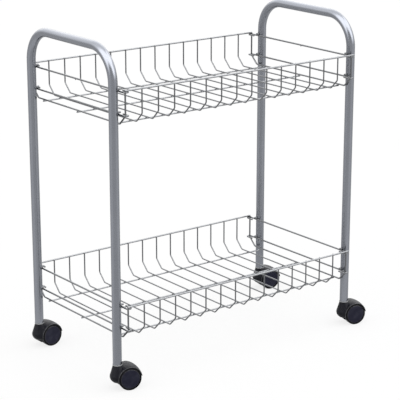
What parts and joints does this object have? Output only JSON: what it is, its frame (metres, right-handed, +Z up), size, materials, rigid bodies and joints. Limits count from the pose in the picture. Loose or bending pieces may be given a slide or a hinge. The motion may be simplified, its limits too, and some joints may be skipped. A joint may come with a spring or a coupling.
{
  "type": "rolling shelf",
  "caption": "Narrow two-tier utility trolley: open wire baskets hooked between bent-tube end frames, on hooded twin-wheel swivel casters",
  "frame": {"origin": "on the floor, under the middle of the frame, halfway between the four posts", "axes": "+X along the shelf to its right end, +Y to its back, +Z up"},
  "size_m": [0.5823, 0.3009, 0.6013],
  "materials": {
    "tube_paint": "smooth silver-grey metallic paint, satin",
    "wire_paint": "silver-grey coated steel wire, satin",
    "insert_plastic": "light grey moulded plastic",
    "hood_plastic": "black moulded plastic, fine satin grain",
    "wheel_plastic": "black moulded plastic with a faint blue cast",
    "bare_steel": "plain turned steel"
  },
  "bodies": {
    "frame": {"back_left_tube_insert": "insert_plastic", "back_right_tube_insert": "insert_plastic", "front_left_tube_insert": "insert_plastic", "front_right_tube_insert": "insert_plastic", "left_frame_tube": "tube_paint", "lower_back_floor_wire": "wire_paint", "lower_back_rim": "wire_paint", "lower_front_floor_wire": "wire_paint", "lower_front_rim": "wire_paint", "lower_hook_pegs": "wire_paint", "lower_left_end_rib": "wire_paint", "lower_left_mid_wire": "wire_paint", "lower_left_top_wire": "wire_paint", "lower_middle_floor_wire": "wire_paint", "lower_ribs": "wire_paint", "lower_right_end_rib": "wire_paint", "lower_right_mid_wire": "wire_paint", "lower_right_top_wire": "wire_paint", "right_frame_tube": "tube_paint", "upper_back_floor_wire": "wire_paint", "upper_back_rim": "wire_paint", "upper_front_floor_wire": "wire_paint", "upper_front_rim": "wire_paint", "upper_hook_pegs": "wire_paint", "upper_left_end_rib": "wire_paint", "upper_left_mid_wire": "wire_paint", "upper_left_top_wire": "wire_paint", "upper_middle_floor_wire": "wire_paint", "upper_ribs": "wire_paint", "upper_right_end_rib": "wire_paint", "upper_right_mid_wire": "wire_paint", "upper_right_top_wire": "wire_paint"},
    "front_left_swivel": {"front_left_stem": "bare_steel", "front_left_grip_ring": "bare_steel", "front_left_hood": "hood_plastic", "front_left_axle": "bare_steel"},
    "front_left_front_wheel_body": {"front_left_front_wheel": "wheel_plastic"},
    "front_left_back_wheel_body": {"front_left_back_wheel": "wheel_plastic"},
    "front_right_swivel": {"front_right_stem": "bare_steel", "front_right_grip_ring": "bare_steel", "front_right_hood": "hood_plastic", "front_right_axle": "bare_steel"},
    "front_right_front_wheel_body": {"front_right_front_wheel": "wheel_plastic"},
    "front_right_back_wheel_body": {"front_right_back_wheel": "wheel_plastic"},
    "back_left_swivel": {"back_left_stem": "bare_steel", "back_left_grip_ring": "bare_steel", "back_left_hood": "hood_plastic", "back_left_axle": "bare_steel"},
    "back_left_front_wheel_body": {"back_left_front_wheel": "wheel_plastic"},
    "back_left_back_wheel_body": {"back_left_back_wheel": "wheel_plastic"},
    "back_right_swivel": {"back_right_stem": "bare_steel", "back_right_grip_ring": "bare_steel", "back_right_hood": "hood_plastic", "back_right_axle": "bare_steel"},
    "back_right_front_wheel_body": {"back_right_front_wheel": "wheel_plastic"},
    "back_right_back_wheel_body": {"back_right_back_wheel": "wheel_plastic"}
  },
  "joints": [
    {"name": "front_left_swivel_turn", "type": "hinge", "parent": "frame", "child": "front_left_swivel", "pos_m": [-0.263, -0.127, 0.0441], "axis": [0, 0, 1], "continuous": true},
    {"name": "front_left_front_wheel_spin", "type": "hinge", "parent": "front_left_swivel", "child": "front_left_front_wheel_body", "pos_m": [-0.24544, -0.13138, 0.0205], "axis": [0.2419, 0.9703, 0], "continuous": true},
    {"name": "front_left_back_wheel_spin", "type": "hinge", "parent": "front_left_swivel", "child": "front_left_back_wheel_body", "pos_m": [-0.24544, -0.13138, 0.0205], "axis": [0.2419, 0.9703, 0], "continuous": true},
    {"name": "front_right_swivel_turn", "type": "hinge", "parent": "frame", "child": "front_right_swivel", "pos_m": [0.263, -0.127, 0.0441], "axis": [0, 0, 1], "continuous": true},
    {"name": "front_right_front_wheel_spin", "type": "hinge", "parent": "front_right_swivel", "child": "front_right_front_wheel_body", "pos_m": [0.28048, -0.13168, 0.0205], "axis": [0.2588, 0.9659, 0], "continuous": true},
    {"name": "front_right_back_wheel_spin", "type": "hinge", "parent": "front_right_swivel", "child": "front_right_back_wheel_body", "pos_m": [0.28048, -0.13168, 0.0205], "axis": [0.2588, 0.9659, 0], "continuous": true},
    {"name": "back_left_swivel_turn", "type": "hinge", "parent": "frame", "child": "back_left_swivel", "pos_m": [-0.263, 0.127, 0.0441], "axis": [0, 0, 1], "continuous": true},
    {"name": "back_left_front_wheel_spin", "type": "hinge", "parent": "back_left_swivel", "child": "back_left_front_wheel_body", "pos_m": [-0.24493, 0.12795, 0.0205], "axis": [-0.0523, 0.9986, 0], "continuous": true},
    {"name": "back_left_back_wheel_spin", "type": "hinge", "parent": "back_left_swivel", "child": "back_left_back_wheel_body", "pos_m": [-0.24493, 0.12795, 0.0205], "axis": [-0.0523, 0.9986, 0], "continuous": true},
    {"name": "back_right_swivel_turn", "type": "hinge", "parent": "frame", "child": "back_right_swivel", "pos_m": [0.263, 0.127, 0.0441], "axis": [0, 0, 1], "continuous": true},
    {"name": "back_right_front_wheel_spin", "type": "hinge", "parent": "back_right_swivel", "child": "back_right_front_wheel_body", "pos_m": [0.28082, 0.12386, 0.0205], "axis": [0.1736, 0.9848, 0], "continuous": true},
    {"name": "back_right_back_wheel_spin", "type": "hinge", "parent": "back_right_swivel", "child": "back_right_back_wheel_body", "pos_m": [0.28082, 0.12386, 0.0205], "axis": [0.1736, 0.9848, 0], "continuous": true}
  ]
}
